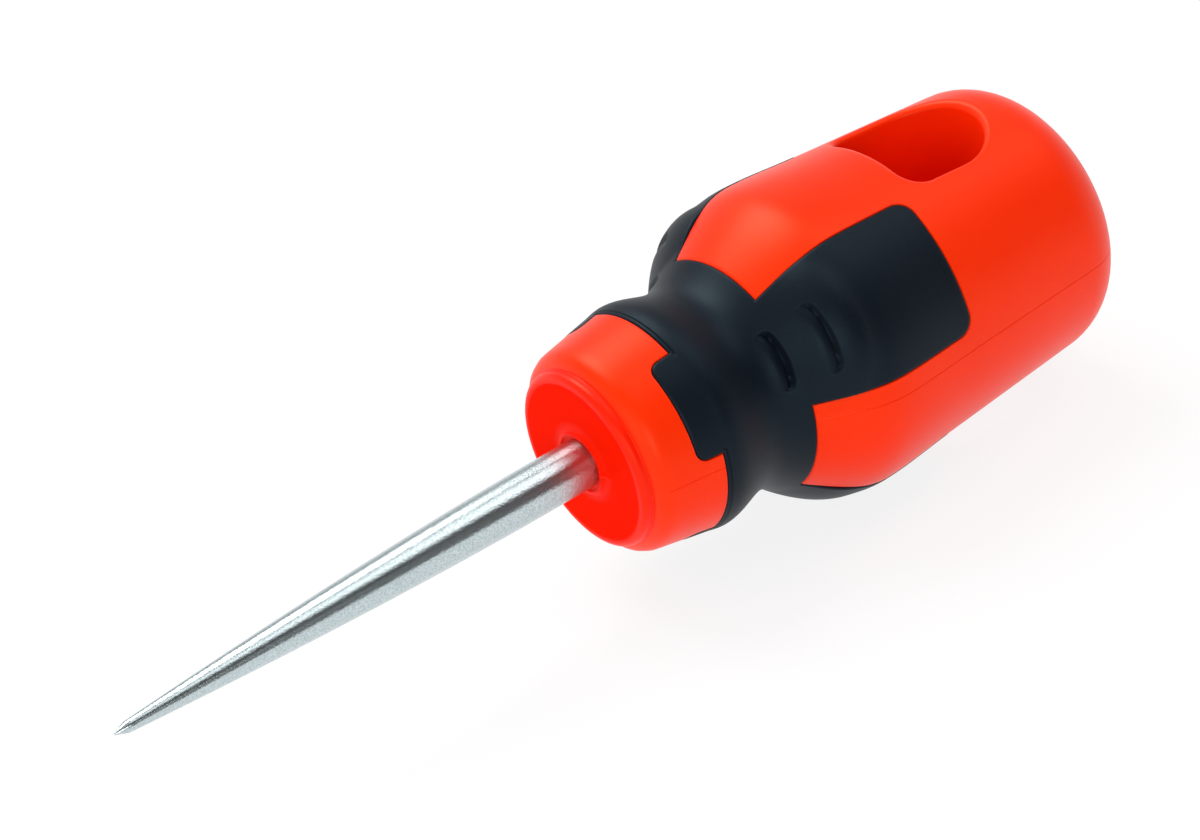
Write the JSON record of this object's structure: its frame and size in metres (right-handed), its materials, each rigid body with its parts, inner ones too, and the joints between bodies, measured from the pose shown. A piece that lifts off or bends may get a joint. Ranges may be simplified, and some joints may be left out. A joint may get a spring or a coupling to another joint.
{
  "type": "stubby awl",
  "caption": "Stubby-handled awl: pointed round steel blade in a moulded orange handle with a soft black grip and a hanging slot through the tail.",
  "frame": {"origin": "on the tool's axis, where the blade's shoulder meets the moulded lip of the handle's nose", "axes": "+X along the tool from the nose to the tail, -X towards the point; +Z out of the upper mouth of the hanging slot; +Y completes the right-handed frame"},
  "size_m": [0.1141, 0.0328, 0.0329],
  "materials": {
    "blade_steel": "satin plated, fine blasted texture",
    "core_plastic": "semi-matte moulded",
    "shell_plastic": "semi-matte moulded",
    "grip_rubber": "matte moulded"
  },
  "bodies": {
    "root": {"blade": "blade_steel", "handle_core": "core_plastic", "handle_shell": "shell_plastic", "grip": "grip_rubber"}
  },
  "joints": []
}
